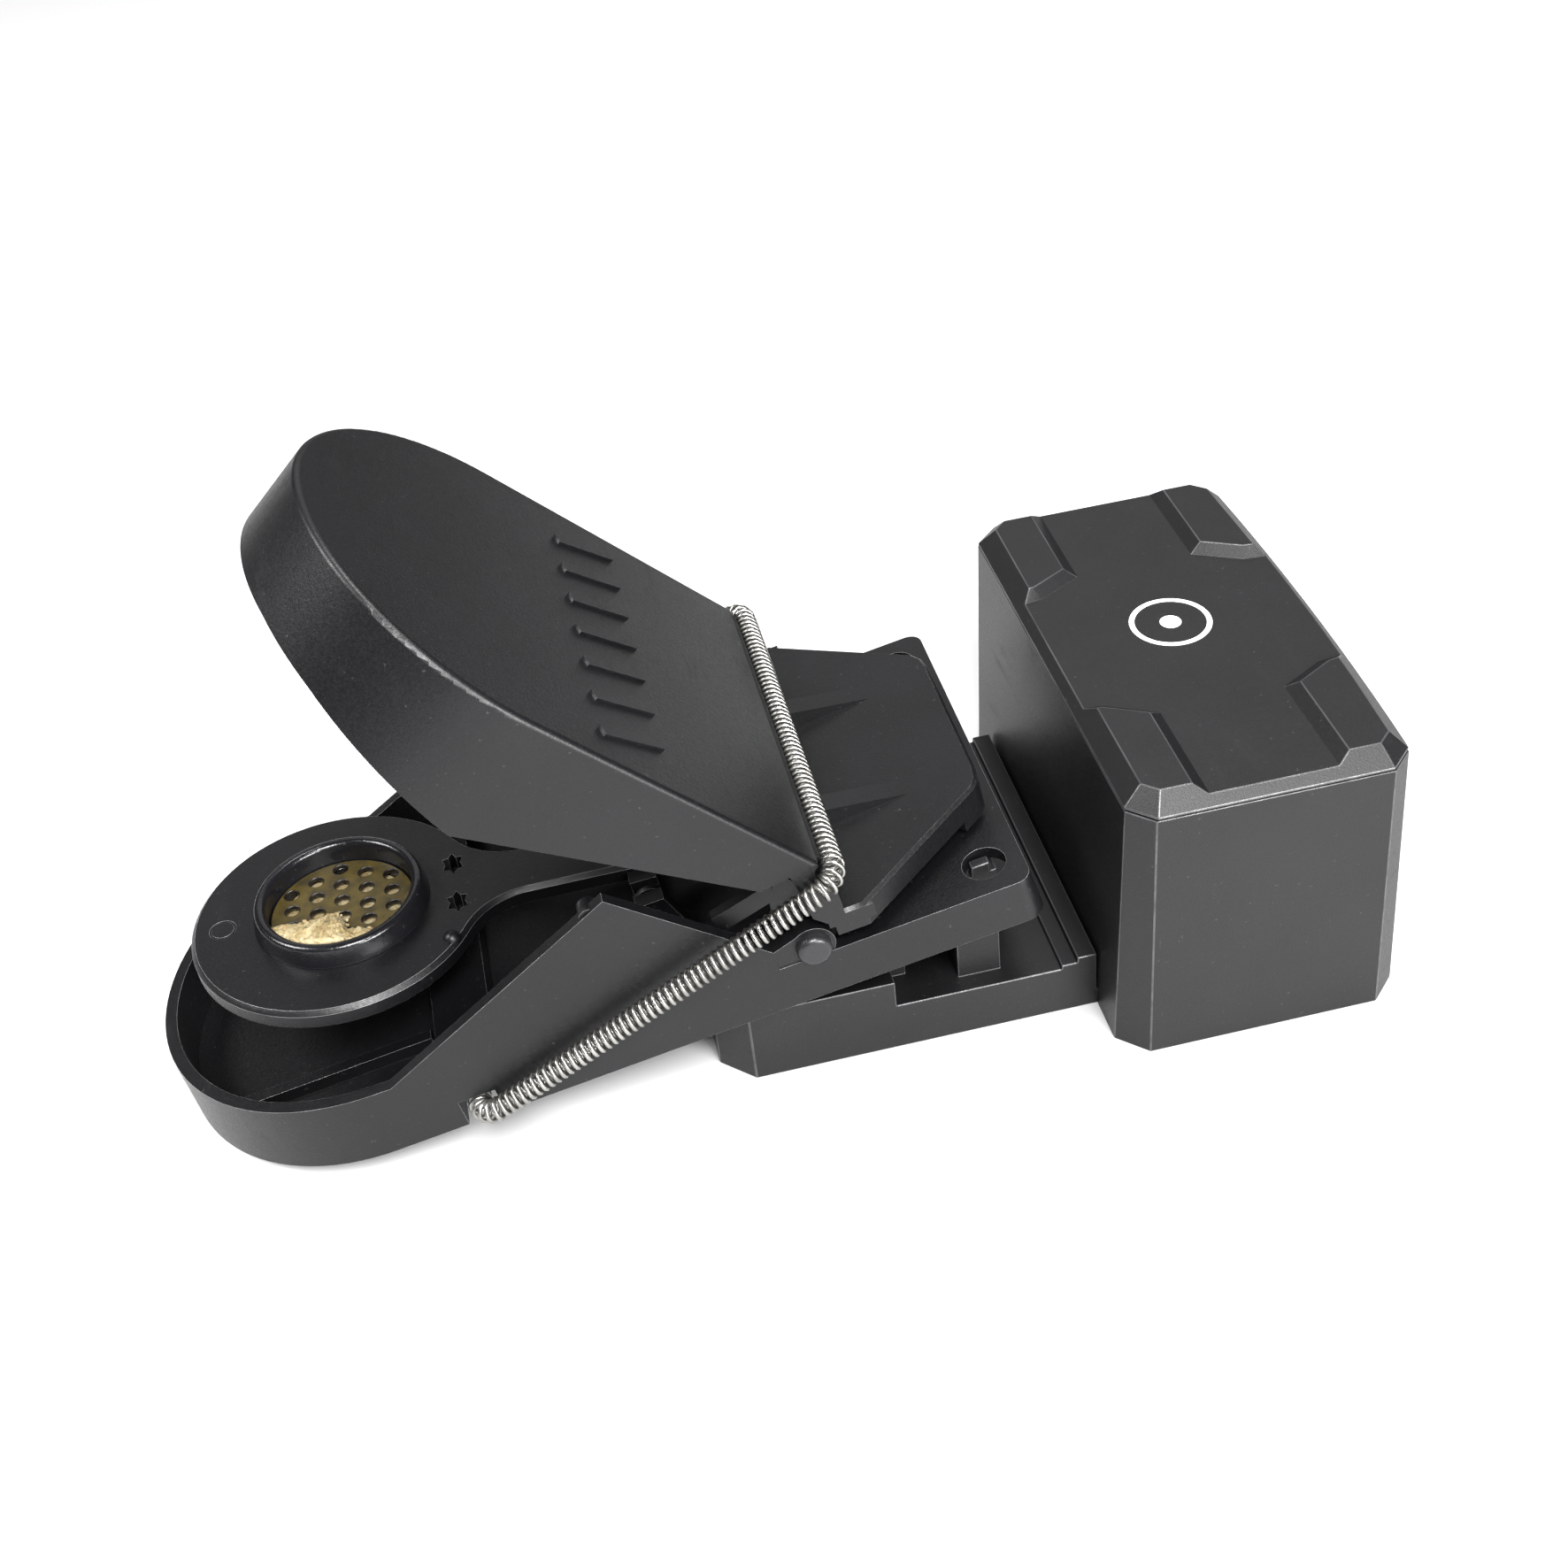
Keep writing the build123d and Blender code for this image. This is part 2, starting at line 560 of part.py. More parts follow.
def plate_outline():
    """Round plate that runs into a narrow neck with wide hollow curves."""
    outline = Circle(PLATE_R) + Pos(20, 0) * Rectangle(40, 2 * NECK_HALF)
    root = outline.vertices().filter_by(lambda v: 5 < v.X < 30)
    return fillet(root, NECK_FILLET)


def star_hole(x, y):
    """Rough six-pointed hole through the plate, longer across the neck."""
    points = []
    for k in range(12):
        reach = 1.3 if k % 2 == 0 else 0.85
        points.append((x + reach * sin(k * pi / 6), y + 1.4 * reach * cos(k * pi / 6)))
    points.reverse()
    return Pos(0, 0, -4) * extrude(Polygon(*points, align=None), 8)


def trigger_plate():
    """Round plate with a boss for the cup, neck, pivot barrel and sear tail."""
    plate = Pos(0, 0, -PLATE_T) * extrude(plate_outline(), PLATE_T)
    plate = chamfer(plate.edges().group_by(Axis.Z)[-1], 0.5)
    plate += Pos(CUP_U, 0, -1.6) * Cylinder(CUP_BODY_R + 1.3, 3.2)
    plate -= Pos(CUP_U, 0, 0) * Cylinder(CUP_BODY_R + 0.03, 20)
    # Moulding marks: a shallow ejector ring in front of the cup, a pip at the neck's root.
    plate -= Pos(-12.6, 0.6, 0) * (Cylinder(1.5, 0.2) - Cylinder(1.25, 0.2))
    plate += Pos(12.2, -8.9, -0.3) * Sphere(1.0)
    for y in (-STAR_Y, STAR_Y):
        plate -= star_hole(STAR_X, y)
    body = PLATE * plate
    body += rod(TRIGGER_U, TRIGGER_W, 1.9, -6.3, 6.3)
    body += slab([(-41.5, 5.5), (-41.5, 8.2), (-38.5, 7.9), (-38.5, 5.5)], -5.6, 5.6)
    body -= rod(TRIGGER_U, TRIGGER_W, 0.8 + RUN_GAP, -9, 9)
    tail = [(-36.0, 5.6), (-36.0, 7.4)]
    tail += [around_hinge(6.1, angle) for angle in (152, 140, 128)]
    tail += [around_hinge(SEAR_R, angle) for angle in (116, 107.5)]
    tail += [around_hinge(4.9, angle) for angle in (107.5, 125, 140, 152)]
    tail += [(-33.0, 5.6)]
    return TRAP * (body + slab(tail, -2.6, 2.6))


def trigger_pin():
    return TRAP * rod(TRIGGER_U, TRIGGER_W, 0.8, -8.55, 8.55)


def bait_cup():
    """Refill cup dropped in from above, resting on the plate by its thick round rim."""
    rim = Pos(0, 0, CUP_H / 2 + 0.02) * Cone(CUP_R, CUP_TOP_R, CUP_H - 0.04)
    body = Pos(0, 0, -CUP_DEPTH / 2 + 0.5) * Cylinder(CUP_BODY_R, CUP_DEPTH + 1)
    cup = rim + body
    cup -= Pos(0, 0, 10 - CUP_DEPTH + CUP_FLOOR) * Cylinder(CUP_BORE - CUP_LEDGE, 20)
    cup -= Pos(0, 0, 10 + GRID_TOP - GRID_T - 0.02) * Cylinder(CUP_BORE, 20)
    cup = fillet(cup.edges().group_by(Axis.Z)[-1], 0.6)
    return TRAP * PLATE * Pos(CUP_U, 0, 0) * cup


def bait():
    """Block of bait on the cup's floor."""
    floor = CUP_FLOOR - CUP_DEPTH + 0.03
    return TRAP * PLATE * Pos(CUP_U, 0, floor + 0.6) * Cylinder(CUP_BORE - CUP_LEDGE - 0.05, 1.2)


def bait_grid():
    """Perforated disc over the bait, on the cup's ledge, with staggered columns of holes."""
    disc = Pos(CUP_U, 0, GRID_TOP - GRID_T / 2) * Cylinder(CUP_BORE - 0.05, GRID_T)
    reach = CUP_BORE - GRID_HOLE_R - 0.35
    for column in range(-2, 3):
        offset = 0 if column % 2 else GRID_PITCH_Y / 2
        for row in range(-3, 4):
            x = column * GRID_PITCH_X
            y = row * GRID_PITCH_Y + offset
            if x * x + y * y < reach * reach:
                disc -= Pos(CUP_U + x, y, GRID_TOP) * Cylinder(GRID_HOLE_R, 3)
    return TRAP * PLATE * disc


def spring_loop(radius):
    """Round bar along the spring's closed path, in the trap frame."""
    top = Vector(SPRING_TOP[0], 0, SPRING_TOP[1])
    foot = Vector(SPRING_FOOT[0], 0, SPRING_FOOT[1])
    along = (top - foot).normalized()
    loop_plane = Plane(origin=(top + foot) / 2, x_dir=along, z_dir=along.cross(Vector(0, 1, 0)))
    loop = RectangleRounded((top - foot).length, 2 * SPRING_V, SPRING_BEND)
    path = (loop_plane * loop).wire()
    section = Plane(origin=path @ 0, z_dir=path % 0) * Circle(radius)
    return sweep(section, path)


def power_spring():
    """Coil spring, drawn as its solid envelope."""
    return TRAP * spring_loop(SPRING_R)


PARTS = (
    sensor_housing, sensor_lid, cover_gasket, cradle, cover_screws,
    battery_holder, batteries, battery_contacts, circuit_board, board_screws,
    radio_module, antenna, motion_sensor, controller_chip,
    trap_base, jaw_pins, jaw, trigger_plate, trigger_pin,
    bait_cup, bait, bait_grid, power_spring,
)

os.makedirs("parts", exist_ok=True)
for make in PARTS:
    export_step(make(), f"parts/{make.__name__}.step")
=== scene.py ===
"""Looks of the snap trap on its sensor cradle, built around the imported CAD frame. Metres, +Z up."""

import json
import math
import random

import bmesh
import bpy
from mathutils import Matrix, Vector, noise
from mathutils.bvhtree import BVHTree


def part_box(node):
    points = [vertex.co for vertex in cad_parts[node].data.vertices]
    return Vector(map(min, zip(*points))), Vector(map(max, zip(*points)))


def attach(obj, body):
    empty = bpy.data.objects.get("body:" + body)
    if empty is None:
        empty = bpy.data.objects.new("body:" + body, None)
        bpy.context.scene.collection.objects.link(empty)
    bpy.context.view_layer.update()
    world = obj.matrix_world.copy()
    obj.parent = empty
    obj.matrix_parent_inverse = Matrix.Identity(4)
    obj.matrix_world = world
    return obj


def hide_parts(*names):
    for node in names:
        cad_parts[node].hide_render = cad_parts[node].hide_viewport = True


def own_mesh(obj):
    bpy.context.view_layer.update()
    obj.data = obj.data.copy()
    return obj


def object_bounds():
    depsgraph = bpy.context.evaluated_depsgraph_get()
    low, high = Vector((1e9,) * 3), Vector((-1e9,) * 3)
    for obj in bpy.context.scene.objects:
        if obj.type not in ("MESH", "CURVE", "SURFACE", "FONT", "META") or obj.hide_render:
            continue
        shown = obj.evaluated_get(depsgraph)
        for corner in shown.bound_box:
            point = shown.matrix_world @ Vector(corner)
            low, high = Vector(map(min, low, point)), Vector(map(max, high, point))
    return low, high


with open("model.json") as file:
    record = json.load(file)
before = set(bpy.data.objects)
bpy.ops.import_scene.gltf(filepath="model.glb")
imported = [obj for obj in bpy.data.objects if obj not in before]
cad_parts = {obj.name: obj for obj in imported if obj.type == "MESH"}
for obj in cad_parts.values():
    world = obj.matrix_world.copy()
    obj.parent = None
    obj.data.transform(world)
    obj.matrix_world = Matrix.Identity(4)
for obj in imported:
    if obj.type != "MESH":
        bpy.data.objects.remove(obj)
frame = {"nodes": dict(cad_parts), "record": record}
cad_low, cad_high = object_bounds()
random.seed(11)

MM = 0.001
EDGE_MASK = "edge_mask"     # mesh attribute that marks the rounded outer edges, for rubbed wear and painted highlight, and on the bait disc its hole walls, for painted shade


# ---------------------------------------------------------------- shader helpers

class Shader:
    """Small builder for node materials on one Principled BSDF, in object coordinates."""

    def __init__(self, name):
        self.material = bpy.data.materials.new(name)
        self.material.use_nodes = True
        self.nodes = self.material.node_tree.nodes
        self.links = self.material.node_tree.links
        self.surface = self.nodes["Principled BSDF"]
        self.place = self.nodes.new("ShaderNodeTexCoord").outputs["Object"]

    def link(self, source, target):
        self.links.new(source, target)

    def set(self, **values):
        for key, value in values.items():
            self.surface.inputs[key.replace("_", " ")].default_value = value

    def noise(self, size, detail=3.0, roughness=0.55, stretch=(1, 1, 1)):
        """Noise with features about size millimetres across."""
        mapping = self.nodes.new("ShaderNodeMapping")
        mapping.inputs["Scale"].default_value = stretch
        self.link(self.place, mapping.inputs["Vector"])
        node = self.nodes.new("ShaderNodeTexNoise")
        node.inputs["Scale"].default_value = 1 / (size * MM)
        node.inputs["Detail"].default_value = detail
        node.inputs["Roughness"].default_value = roughness
        self.link(mapping.outputs["Vector"], node.inputs["Vector"])
        return node.outputs["Fac"]

    def remap(self, value, low, high, to_low, to_high):
        node = self.nodes.new("ShaderNodeMapRange")
        node.inputs["From Min"].default_value = low
        node.inputs["From Max"].default_value = high
        node.inputs["To Min"].default_value = to_low
        node.inputs["To Max"].default_value = to_high
        self.link(value, node.inputs["Value"])
        return node.outputs["Result"]

    def math(self, operation, a, b):
        node = self.nodes.new("ShaderNodeMath")
        node.operation = operation
        for socket, value in zip(node.inputs, (a, b)):
            if isinstance(value, (int, float)):
                socket.default_value = value
            else:
                self.link(value, socket)
        return node.outputs["Value"]

    def mix(self, amount, a, b):
        """Colour a where amount is 0, colour b where it is 1."""
        node = self.nodes.new("ShaderNodeMix")
        node.data_type = "RGBA"
        colours = [s for s in node.inputs if s.type == "RGBA"]
        for socket, value in zip(colours, (a, b)):
            if isinstance(value, tuple):
                socket.default_value = (*value, 1)
            else:
                self.link(value, socket)
        if isinstance(amount, (int, float)):
            node.inputs["Factor"].default_value = amount
        else:
            self.link(amount, node.inputs["Factor"])
        return next(s for s in node.outputs if s.type == "RGBA")

    def edge(self):
        """1 on the rounded strips along outer edges, 0 elsewhere."""
        node = self.nodes.new("ShaderNodeAttribute")
        node.attribute_name = EDGE_MASK
        return node.outputs["Fac"]

    def bump(self, height, depth, base=None):
        """Adds a bump of depth millimetres; chained bumps pass the earlier one as base."""
        node = self.nodes.new("ShaderNodeBump")
        node.inputs["Distance"].default_value = depth * MM
        self.link(height, node.inputs["Height"])
        if base is not None:
            self.link(base, node.inputs["Normal"])
        self.link(node.outputs["Normal"], self.surface.inputs["Normal"])
        return node.outputs["Normal"]


def moulded_plastic(name, colour, roughness, grain, edge_wear_and_highlight, specular):
    """Injection-moulded plastic: spark-eroded grain, slow tone drift, dust, and rubbed, shinier edges whose
    lighter colour is part wear and part painted highlight.

    Grain is the size of the texture in millimetres; the fifth argument is the colour of the rounded outer
    edges, part rubbed wear and part painted highlight.
    """
    s = Shader(name)
    drift = s.noise(14, 2)
    fine = s.noise(grain, 4, 0.6)
    speck = s.noise(grain * 0.45, 2, 0.5)
    scuff = s.noise(2.2, 5, 0.65, (1, 0.22, 1))
    edge = s.math("MULTIPLY", s.edge(), s.remap(scuff, 0.35, 0.6, 0.45, 1))
    darker = tuple(c * 0.82 for c in colour)
    lighter = tuple(c * 1.16 for c in colour)
    body = s.mix(s.remap(drift, 0.35, 0.65, 0, 1), darker, lighter)
    dust = s.remap(s.noise(0.5, 2, 0.5), 0.70, 0.78, 0, 0.35)
    body = s.mix(dust, body, tuple(0.06 + c for c in colour))
    # painted highlight: the edge strips take the lighter edge colour, part rubbed wear and part painted
    # highlight
    s.link(s.mix(edge, body, edge_wear_and_highlight), s.surface.inputs["Base Color"])
    rough = s.remap(fine, 0.3, 0.7, roughness - 0.05, roughness + 0.06)
    rough = s.math("ADD", rough, s.remap(scuff, 0.58, 0.75, 0, 0.08))
    rough = s.math("SUBTRACT", rough, s.math("MULTIPLY", edge, 0.12))
    s.link(rough, s.surface.inputs["Roughness"])
    shine = s.math("ADD", s.math("MULTIPLY", edge, 0.45), specular)
    s.link(shine, s.surface.inputs["Specular IOR Level"])
    s.set(IOR=1.5)
    under = s.bump(speck, 0.012)
    s.bump(fine, 0.02, under)
    return s.material


def bright_wire():
    """Drawn, plated spring wire: faint draw lines, dull film in patches."""
    s = Shader("bright_wire")
    film = s.noise(5, 4)
    draw = s.noise(0.12, 3, 0.6, (1, 0.3, 1))
    s.link(s.mix(s.remap(film, 0.4, 0.65, 0, 1), (0.40, 0.395, 0.375), (0.25, 0.245, 0.23)),
           s.surface.inputs["Base Color"])
    s.link(s.remap(film, 0.35, 0.7, 0.24, 0.4), s.surface.inputs["Roughness"])
    s.set(Metallic=1.0)
    s.bump(draw, 0.006)
    return s.material


def plated_metal(name, colour, roughness):
    """Zinc-plated or tinned small parts, lightly brushed."""
    s = Shader(name)
    film = s.noise(1.6, 4)
    brush = s.noise(0.25, 4, 0.6, (1, 0.08, 1))
    s.link(s.mix(film, colour, tuple(c * 0.72 for c in colour)), s.surface.inputs["Base Color"])
    s.link(s.remap(brush, 0.3, 0.7, roughness - 0.08, roughness + 0.1), s.surface.inputs["Roughness"])
    s.set(Metallic=1.0)
    s.bump(brush, 0.01)
    return s.material


def bait_disc_plastic():
    """Mustard-yellow polythene, stained by grease; the walls of its holes and its rounded edges are near
    black, a painted shade.
    """
    s = Shader("bait_disc_plastic")
    stain = s.noise(2.4, 5, 0.65)
    fine = s.noise(0.3, 3)
    body = s.mix(s.remap(stain, 0.38, 0.66, 0, 1), (0.060, 0.043, 0.009), (0.022, 0.016, 0.005))
    # painted shade: the rounded edges and the hole walls are coloured near black
    s.link(s.mix(s.edge(), body, (0.008, 0.006, 0.004)), s.surface.inputs["Base Color"])
    s.link(s.remap(stain, 0.3, 0.7, 0.30, 0.52), s.surface.inputs["Roughness"])
    s.set(IOR=1.48, Subsurface_Weight=0.06, Subsurface_Scale=0.0008)
    s.bump(fine, 0.03)
    return s.material


def bait_paste():
    """Dry, crumbly cream paste: oily darker crumbs and a pitted surface."""
    s = Shader("bait_paste")
    crumb = s.noise(0.55, 5, 0.7)
    patch = s.noise(2.0, 3)
    pale = s.mix(s.remap(patch, 0.4, 0.62, 0, 1), (0.40, 0.335, 0.20), (0.31, 0.24, 0.115))
    s.link(s.mix(s.remap(crumb, 0.36, 0.52, 1, 0), pale, (0.22, 0.15, 0.055)),
           s.surface.inputs["Base Color"])
    s.link(s.remap(crumb, 0.3, 0.7, 0.45, 0.8), s.surface.inputs["Roughness"])
    s.set(Subsurface_Weight=0.12, Subsurface_Scale=0.0006)
    s.bump(crumb, 0.18)
    return s.material


def printed_ink():
    """White pad-printed ink, slightly thin in places so that the plastic's grain shows."""
    s = Shader("printed_ink")
    thin = s.noise(0.35, 4, 0.7)
    s.link(s.mix(s.remap(thin, 0.62, 0.74, 0, 0.6), (0.80, 0.80, 0.79), (0.2, 0.2, 0.2)),
           s.surface.inputs["Base Color"])
    s.link(s.remap(thin, 0.3, 0.7, 0.42, 0.58), s.surface.inputs["Roughness"])
    s.bump(s.noise(0.2, 3), 0.01)
    return s.material


def soft_rubber():
    """Black seal rubber with a pale bloom."""
    s = Shader("soft_rubber")
    bloom = s.noise(3, 4)
    s.link(s.mix(bloom, (0.018, 0.018, 0.019), (0.05, 0.05, 0.05)), s.surface.inputs["Base Color"])
    s.link(s.remap(bloom, 0.3, 0.7, 0.6, 0.85), s.surface.inputs["Roughness"])
    s.bump(s.noise(0.2, 3), 0.02)
    return s.material


def circuit_laminate():
    """Green solder mask over copper traces that run in steps along the board."""
    s = Shader("circuit_laminate")
    brick = s.nodes.new("ShaderNodeTexBrick")
    brick.inputs["Scale"].default_value = 1 / (6 * MM)
    brick.inputs["Mortar Size"].default_value = 0.03
    s.link(s.place, brick.inputs["Vector"])
    traces = brick.outputs["Fac"]
    s.link(s.mix(traces, (0.012, 0.10, 0.045), (0.05, 0.22, 0.09)), s.surface.inputs["Base Color"])
    s.link(s.remap(s.noise(0.8, 3), 0.3, 0.7, 0.22, 0.36), s.surface.inputs["Roughness"])
    s.bump(traces, 0.03)
    return s.material


def cell_jacket():
    """Printed foil of a battery cell, without marks: a dark body and a pale band."""
    s = Shader("cell_jacket")
    split = s.nodes.new("ShaderNodeSeparateXYZ")
    s.link(s.place, split.inputs["Vector"])
    band = s.remap(split.outputs["Y"], 11 * MM, 11.2 * MM, 0, 1)
    s.link(s.mix(band, (0.02, 0.03, 0.05), (0.55, 0.42, 0.2)), s.surface.inputs["Base Color"])
    s.link(s.remap(s.noise(1.2, 3), 0.3, 0.7, 0.22, 0.34), s.surface.inputs["Roughness"])
    s.set(Metallic=0.55)
    s.bump(s.noise(0.4, 3), 0.01)
    return s.material


def make_materials():
    """One finish for each material slot of the record."""
    return {
        # the fifth value of each moulded plastic is its edge colour, part rubbed wear and part painted
        # highlight
        "case_plastic": moulded_plastic(
            "case_plastic", (0.004, 0.004, 0.0045), 0.44, 0.22, (0.035, 0.035, 0.037), 0.40),
        "trap_plastic": moulded_plastic(
            "trap_plastic", (0.0032, 0.0033, 0.0038), 0.38, 0.34, (0.22, 0.22, 0.225), 0.36),
        "cup_plastic": moulded_plastic(
            "cup_plastic", (0.005, 0.005, 0.006), 0.20, 0.5, (0.02, 0.02, 0.024), 0.45),
        "pin_plastic": moulded_plastic(
            "pin_plastic", (0.015, 0.015, 0.017), 0.30, 0.3, (0.08, 0.08, 0.085), 0.4),
        "holder_plastic": moulded_plastic(
            "holder_plastic", (0.05, 0.05, 0.054), 0.5, 0.3, (0.1, 0.1, 0.1), 0.4),
        "antenna_sleeve": moulded_plastic(
            "antenna_sleeve", (0.03, 0.03, 0.03), 0.3, 0.3, (0.08, 0.08, 0.08), 0.5),
        "chip_resin": moulded_plastic(
            "chip_resin", (0.02, 0.02, 0.02), 0.55, 0.15, (0.06, 0.06, 0.06), 0.4),
        "seal_rubber": soft_rubber(),
        "plated_steel": plated_metal("plated_steel", (0.66, 0.66, 0.63), 0.34),
        "shield_can": plated_metal("shield_can", (0.7, 0.7, 0.7), 0.3),
        "spring_steel": bright_wire(),
        "cell_jacket": cell_jacket(),
        "board_laminate": circuit_laminate(),
        "bait_paste": bait_paste(),
        "bait_yellow": bait_disc_plastic(),
    }


# ---------------------------------------------------------------- places taken from the frame


def node_slot(name):
    entry = next(p for p in frame["record"]["subparts"] if p["node"] == name)
    return entry["material_slot"]


def node_body(name):
    bodies = frame["record"]["behaviour"]["bodies"]
    return next(body for body, members in bodies.items() if name in members)


# ---------------------------------------------------------------- pieces

def smooth(piece):
    for polygon in piece.data.polygons:
        polygon.use_smooth = True


def shade(piece, angle):
    """Smooth shading that stays flat on big faces and breaks at edges above angle degrees."""
    smooth(piece)
    piece.data.set_sharp_from_angle(angle=math.radians(angle))
    weigh = piece.modifiers.new("weighted", "WEIGHTED_NORMAL")
    weigh.keep_sharp = True


def mesh_piece(name, vertices, faces, material):
    """An object from plain vertices and faces, with its normals turned outward."""
    mesh = bpy.data.meshes.new(name)
    mesh.from_pydata(vertices, [], faces)
    turned = bmesh.new()
    turned.from_mesh(mesh)
    bmesh.ops.recalc_face_normals(turned, faces=turned.faces)
    turned.to_mesh(mesh)
    turned.free()
    mesh.materials.append(material)
    piece = bpy.data.objects.new(name, mesh)
    bpy.context.scene.collection.objects.link(piece)
    return piece


WELD = 0.002 * MM       # vertices closer than this are one
FLAT_WITHIN = 0.4       # degrees; flatter pairs of faces are merged
SLIVER = (0.01 * MM) ** 2
ROUND_ABOVE = 28        # degrees; sharper edges are rounded
SMOOTH_MOULDING = 35    # degrees; sharper edges break the shading of a rounded piece
SMOOTH_NODE = 30        # and of a CAD node


def crossed_faces(mesh):
    """Faces whose triangles cover more than the face itself, because its outline crosses itself."""
    covered = {}
    for loops in mesh.calc_loop_triangles():
        a, b, c = (loop.vert.co for loop in loops)
        face = loops[0].face
        covered[face] = covered.get(face, 0) + (b - a).cross(c - a).length / 2
    return [face for face, area in covered.items() if area > face.calc_area() * 1.002 + SLIVER]


def refill_crossed(mesh):
    """Fills afresh each flat region in which a rounded corner has crossed an edge between two faces."""
    for start in crossed_faces(mesh):
        if not start.is_valid:
            continue
        normal = start.normal.copy()
        region, front = {start}, [start]
        while front:
            for edge in front.pop().edges:
                for face in edge.link_faces:
                    if face not in region and face.normal.dot(normal) > math.cos(math.radians(FLAT_WITHIN)):
                        region.add(face)
                        front.append(face)
        edges = {edge for face in region for edge in face.edges}
        inner = [edge for edge in edges if all(face in region for face in edge.link_faces)]
        border = list(edges.difference(inner))
        bmesh.ops.delete(mesh, geom=list(region), context="FACES_ONLY")
        bmesh.ops.delete(mesh, geom=inner, context="EDGES")
        bmesh.ops.triangle_fill(mesh, use_beauty=True, edges=border, normal=normal)


def softened(node, width, materials):
    """A copy of a CAD node with its edges rounded by width millimetres; it stands for the node."""
    source = frame["nodes"][node]
    piece = bpy.data.objects.new(node + "_moulding", source.data.copy())
    bpy.context.scene.collection.objects.link(piece)
    mesh = bmesh.new()
    mesh.from_mesh(piece.data)
    bmesh.ops.remove_doubles(mesh, verts=mesh.verts, dist=WELD)
    bmesh.ops.dissolve_limit(
        mesh, angle_limit=math.radians(FLAT_WITHIN), verts=mesh.verts, edges=mesh.edges)
    bmesh.ops.recalc_face_normals(mesh, faces=mesh.faces)
    edges = [
        e for e in mesh.edges
        if len(e.link_faces) == 2 and e.calc_face_angle(0) > math.radians(ROUND_ABOVE)
    ]
    crisp = BVHTree.FromBMesh(mesh)
    mask = mesh.faces.layers.float.new(EDGE_MASK)
    rounded = bmesh.ops.bevel(
        mesh, geom=edges, offset=width * MM, offset_type="OFFSET", segments=2, profile=0.5,
        affect="EDGES", clamp_overlap=True, miter_outer="ARC", loop_slide=False,
    )
    # marks the outer edge strips for the edge colour: part wear and part painted highlight, on the bait
    # disc painted shade
    for face in rounded["faces"]:
        centre = face.calc_center_median()
        place, normal, _, _ = crisp.find_nearest(centre)
        if (centre - place).dot(normal) < 0:    # an outer edge, cut below the crisp surface
            face[mask] = 1
    bmesh.ops.recalc_face_normals(mesh, faces=mesh.faces)
    refill_crossed(mesh)
    bmesh.ops.recalc_face_normals(mesh, faces=mesh.faces)
    if node == "bait_grid":     # painted shade: the walls of the disc's holes are marked too, to be coloured near black
        _, _, _, disc_normal = disc_frame()
        for face in mesh.faces:
            if abs(face.normal.dot(disc_normal)) < 0.5:
                face[mask] = 1
    mesh.to_mesh(piece.data)
    mesh.free()
    piece.data.materials.clear()
    piece.data.materials.append(materials[node_slot(node)])
    shade(piece, SMOOTH_MOULDING)
    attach(piece, node_body(node))
    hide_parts(node)
    return piece


SOFTENED = {        # width of the rounded edges, millimetres
    "sensor_housing": 0.18,
    "sensor_lid": 0.12,
    "cradle": 0.15,
    "trap_base": 0.15,
    "jaw": 0.18,
    "trigger_plate": 0.15,
    "jaw_pins": 0.2,
    "bait_cup": 0.12,
    "bait_grid": 0.24,
}


def dress_nodes(materials):
    """Gives each CAD node its finish, or its rounded stand-in."""
    for name, node in frame["nodes"].items():
        if name in SOFTENED:
            softened(name, SOFTENED[name], materials)
            continue
        node.data.materials.clear()
        node.data.materials.append(materials[node_slot(name)])
        shade(node, SMOOTH_NODE)


# ---- power spring: a close-wound coil along the loop

SPRING_R = 1.35 * MM        # outer radius of the coil
SPRING_BEND = 2.6 * MM      # radius of the loop's four bends
WIRE_R = 0.25 * MM
COIL_PITCH = 0.84 * MM
COIL_STEPS = 14             # samples along one turn
WIRE_SIDES = 6


def spring_ends():
    """Centres of the loop's top and foot runs, and the half width of its centre line."""
    low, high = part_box("power_spring")
    top = Vector((high.x - SPRING_R, 0, high.z - SPRING_R))
    foot = Vector((low.x + SPRING_R, 0, low.z + SPRING_R))
    return top, foot, high.y - SPRING_R


def spring_centre_line():
    """Evenly spaced samples round the loop, from the top run onwards.

    Each is the centre, the direction out of the loop, and whether it is on the top run.
    """
    top, foot, half = spring_ends()
    across = Vector((0, 1, 0))
    down = (foot - top).normalized()
    corners = [
        top + across * half, foot + across * half,
        foot - across * half, top - across * half,
    ]
    headings = [across, down, -across, -down]
    lengths = [2 * half - 2 * SPRING_BEND, (foot - top).length - 2 * SPRING_BEND] * 2
    bend = math.pi / 2 * SPRING_BEND
    total = sum(lengths) + 4 * bend
    count = round(total / COIL_PITCH) * COIL_STEPS
    samples = []
    for i in range(count + 1):
        along = total * i / count
        side = 0
        while side < 3 and along > lengths[side] + bend:
            along -= lengths[side] + bend
            side += 1
        heading, onward = headings[side], headings[(side + 1) % 4]
        corner = corners[side]
        if along <= lengths[side]:
            centre = corner - heading * (SPRING_BEND + lengths[side] - along)
            samples.append((centre, -onward, side == 0))
        else:
            turn = (along - lengths[side]) / SPRING_BEND
            outward = heading * math.sin(turn) - onward * math.cos(turn)
            pivot = corner - heading * SPRING_BEND + onward * SPRING_BEND
            samples.append((pivot + outward * SPRING_BEND, outward, False))
    return samples


